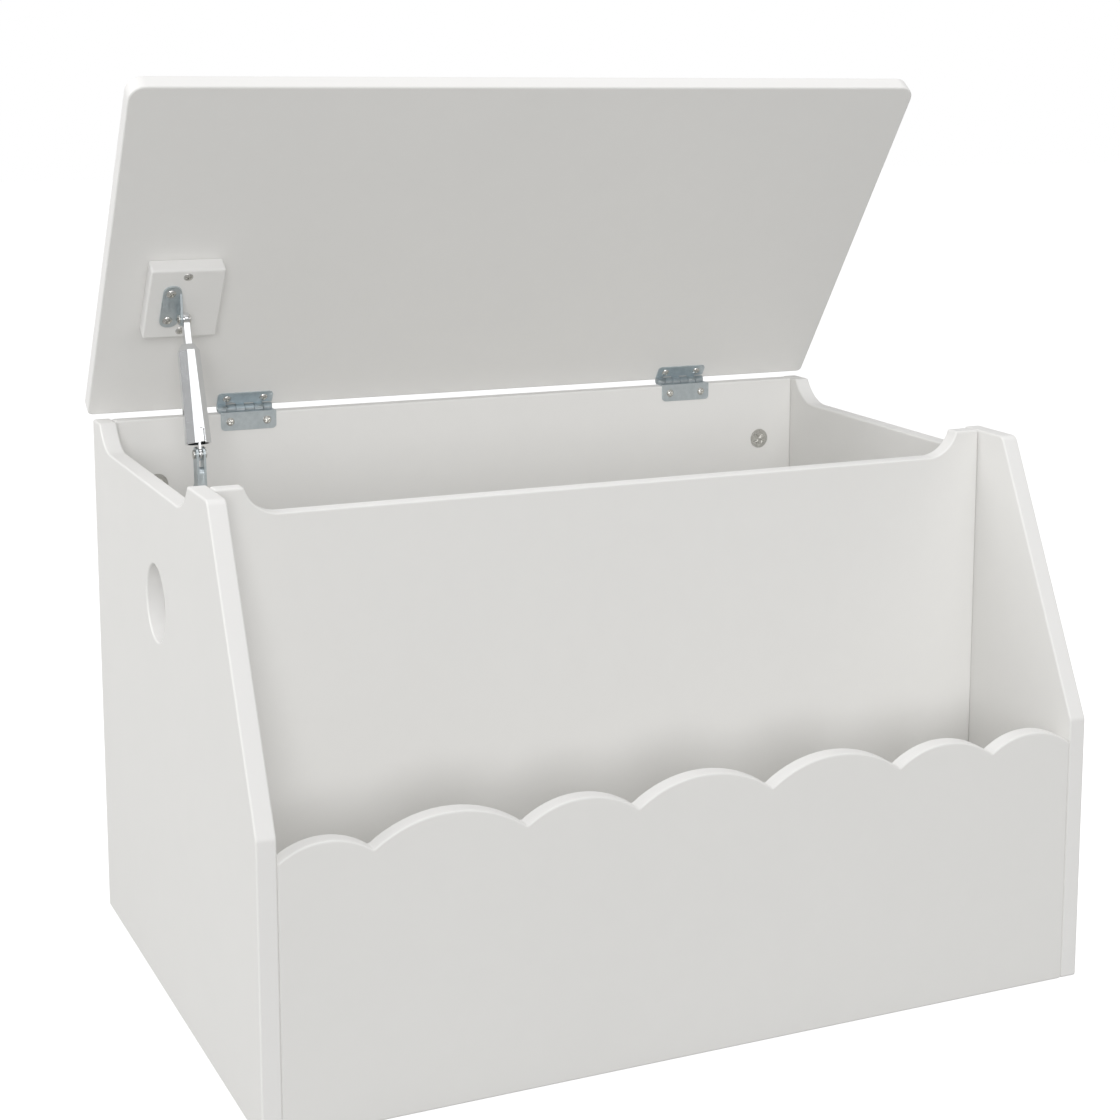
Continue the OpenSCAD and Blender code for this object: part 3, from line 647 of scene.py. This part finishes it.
class BENCH_OT_lid(Operator):
    """Build the lid and the block under it that carries the stay"""

    bl_idname = "bench.lid"
    bl_label = "Lid and stay block"

    def execute(self, context):
        s = sizes()
        low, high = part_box("lid_panel")
        hinge = lid_place()[1]
        front = hinge[1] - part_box("divider_panel")[0].y + s.lid_nose
        outline = np.array([(low.x, -front), (high.x, -front), (high.x, s.lid_tail), (low.x, s.lid_tail)])
        ease = np.array([s.lid_corner, s.lid_corner, s.lid_rear_corner, s.lid_rear_corner])
        panel = board("lid_board", eased(outline, ease, 12), s.lid_rise, s.lid_rise + s.board, lid_place(),
                      stocked(painted_fibreboard))
        stand_for(panel, "lid_panel", "lid")

        low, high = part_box("stay_block")
        near, far = -s.block_set, -s.block_set - s.block_length
        outline = np.array([(low.x, far), (high.x, far), (high.x, near), (low.x, near)])
        block = board("stay_mount_block", eased(outline, s.corner_ease), s.lid_rise - s.board, s.lid_rise,
                      lid_place(), stocked(painted_fibreboard))
        stand_for(block, "stay_block", "lid")
        return {"FINISHED"}


class BENCH_OT_hinges(Operator):
    """Give the hinge leaves, pins and screws their zinc plate"""

    bl_idname = "bench.hinges"
    bl_label = "Hinges"

    def execute(self, context):
        finish_cad(zinc_plated_steel, *(f"{side}_hinge_{part}" for side in ("left", "right")
                                        for part in ("body_leaf", "lid_leaf", "pin")))
        finish_cad(die_cast_zinc, "hinge_body_screws", "hinge_lid_screws")
        return {"FINISHED"}


class BENCH_OT_stay(Operator):
    """Give the lid stay its chrome and zinc plate"""

    bl_idname = "bench.stay"
    bl_label = "Lid stay"

    def execute(self, context):
        finish_cad(chrome_plated_steel, "stay_strap", "stay_cover", "stay_inner_bar")
        finish_cad(zinc_plated_steel, "stay_lid_bracket", "stay_lower_arm", "stay_side_bracket")
        finish_cad(die_cast_zinc, "stay_lid_stud", "stay_elbow_rivet", "stay_side_stud", "stay_block_screws",
                   "stay_lid_bracket_screws", "stay_side_bracket_screws")
        return {"FINISHED"}


class BENCH_OT_fixings(Operator):
    """Give the cam locks, bolts and dowels their finishes"""

    bl_idname = "bench.fixings"
    bl_label = "Cam locks, bolts and dowels"

    def execute(self, context):
        finish_cad(die_cast_zinc, "back_cam_locks", "divider_cam_locks", "front_cam_locks", "cam_bolts")
        finish_cad(turned_beech, "wooden_dowels")
        return {"FINISHED"}


# ---- Stage ----


def softbox(name, at, towards, width, height, power):
    """A large white light at a place, turned to face a point."""
    lamp = bpy.data.lights.new(name, "AREA")
    lamp.shape = "RECTANGLE"
    lamp.size, lamp.size_y, lamp.energy = width, height, power
    light = bpy.data.objects.new(name, lamp)
    light.location = at
    light.rotation_euler = (Vector(towards) - Vector(at)).to_track_quat("-Z", "Y").to_euler()
    bpy.context.scene.collection.objects.link(light)


class BENCH_OT_stage(Operator):
    """Set up the camera, the white floor and the soft studio light"""

    bl_idname = "bench.stage"
    bl_label = "Camera, floor and light"

    def execute(self, context):
        scene = context.scene
        stage = scene.bench_stage
        lens = bpy.data.cameras.new("camera")
        lens.lens, lens.sensor_width = stage.lens, 36
        lens.shift_x, lens.shift_y = stage.frame_shift
        lens.clip_start, lens.clip_end = 0.05, 50
        camera = bpy.data.objects.new("camera", lens)
        aim = (
            Matrix.Rotation(stage.camera_azimuth, 4, "Z")
            @ Matrix.Rotation(pi / 2 - stage.camera_height, 4, "X")
            @ Matrix.Rotation(stage.camera_roll, 4, "Z")
        )
        camera.matrix_world = Matrix.Translation(stage.camera_at) @ aim
        scene.collection.objects.link(camera)
        scene.camera = camera

        paper = bpy.data.meshes.new("floor")
        # The floor reaches 9 m each way.
        half = 9
        corners = [(-half, -half, 0), (half, -half, 0), (half, half, 0), (-half, half, 0)]
        paper.from_pydata(corners, [], [(0, 1, 2, 3)])
        paper.materials.append(stocked(studio_floor))
        floor = bpy.data.objects.new("floor", paper)
        scene.collection.objects.link(floor)
        # The floor's glow keeps the paper white without lighting the bench from below.
        lit = bpy.data.collections.new("lit_by_floor")
        lit.objects.link(floor)
        floor.light_linking.receiver_collection = lit

        world = bpy.data.worlds.new("white_surroundings")
        world.use_nodes = True
        world.node_tree.nodes.clear()
        tree = world.node_tree
        # Surroundings up to 7 degrees above the floor, fading to a dimmer ceiling by 20 degrees.
        way = add(tree, "ShaderNodeTexCoord").outputs["Generated"]
        up = add(tree, "ShaderNodeSeparateXYZ", {}, {"Vector": way}).outputs["Z"]
        span = {"From Min": 0.12, "From Max": 0.35, "To Min": stage.horizon, "To Max": stage.sky}
        fade = add(tree, "ShaderNodeMapRange", span, {"Value": up})
        # The backdrop is seen white, and lights the bench only as much as the cove.
        seen = add(tree, "ShaderNodeLightPath").outputs["Is Camera Ray"]
        level = add(tree, "ShaderNodeMath", {}, {0: fade.outputs[0], 1: seen}, operation="MAXIMUM")
        sky = add(tree, "ShaderNodeBackground", {"Color": (1, 1, 1, 1)}, {"Strength": level.outputs[0]})
        add(tree, "ShaderNodeOutputWorld", {}, {"Surface": sky.outputs[0]})
        scene.world = world
        # A broad, far light from beside the camera, so that the inside is lit as much as the front.
        lamp = bpy.data.lights.new("front_light", "SUN")
        lamp.energy, lamp.angle = stage.front, stage.front_spread
        light = bpy.data.objects.new("front_light", lamp)
        light.rotation_euler = (pi / 2 - stage.front_height, 0, -stage.front_side)
        scene.collection.objects.link(light)
        softbox("top_light", stage.top_at, towards=(0, 0, 0.3), width=1.8, height=1.2, power=stage.top)
        softbox("left_light", stage.left_at, towards=(0, 0, 0.25), width=2.4, height=2.4, power=stage.left)
        # The front face of the stay's chrome cover mirrors this one.
        cover = Vector((-0.235, 0.1, 0.39))
        softbox("card_light", stage.card_at, towards=cover, width=1.2, height=1.2, power=stage.card)
        scene.view_settings.view_transform = "Standard"
        scene.view_settings.look = "None"
        scene.view_settings.gamma = stage.gamma
        return {"FINISHED"}


class BENCH_PT_panel(Panel):
    """Lists the bench's pieces, sizes and colours"""

    bl_idname = "BENCH_PT_panel"
    bl_label = "Storage bench"
    bl_space_type = "VIEW_3D"
    bl_region_type = "UI"
    bl_category = "Bench"

    def draw(self, context):
        layout = self.layout
        for step in STEPS:
            layout.operator(step.bl_idname)
        for group in (context.scene.bench_sizes, context.scene.bench_colours, context.scene.bench_stage):
            column = layout.column(align=True)
            for name in group.__annotations__:
                column.prop(group, name)


STEPS = (
    BENCH_OT_stage,
    BENCH_OT_side_panels,
    BENCH_OT_cross_panels,
    BENCH_OT_lid,
    BENCH_OT_hinges,
    BENCH_OT_stay,
    BENCH_OT_fixings,
)
GROUPS = {"bench_sizes": BenchSizes, "bench_colours": BenchColours, "bench_stage": BenchStage}


def register():
    for cls in (*GROUPS.values(), *STEPS, BENCH_PT_panel):
        bpy.utils.register_class(cls)
    for name, group in GROUPS.items():
        setattr(bpy.types.Scene, name, PointerProperty(type=group))


def unregister():
    for name in GROUPS:
        delattr(bpy.types.Scene, name)
    for cls in (BENCH_PT_panel, *STEPS[::-1], *GROUPS.values()):
        bpy.utils.unregister_class(cls)


def main():
    register()
    for step in STEPS:
        getattr(bpy.ops.bench, step.bl_idname.split(".")[1])()
    bpy.context.view_layer.update()


if __name__ == "__main__":
    main()
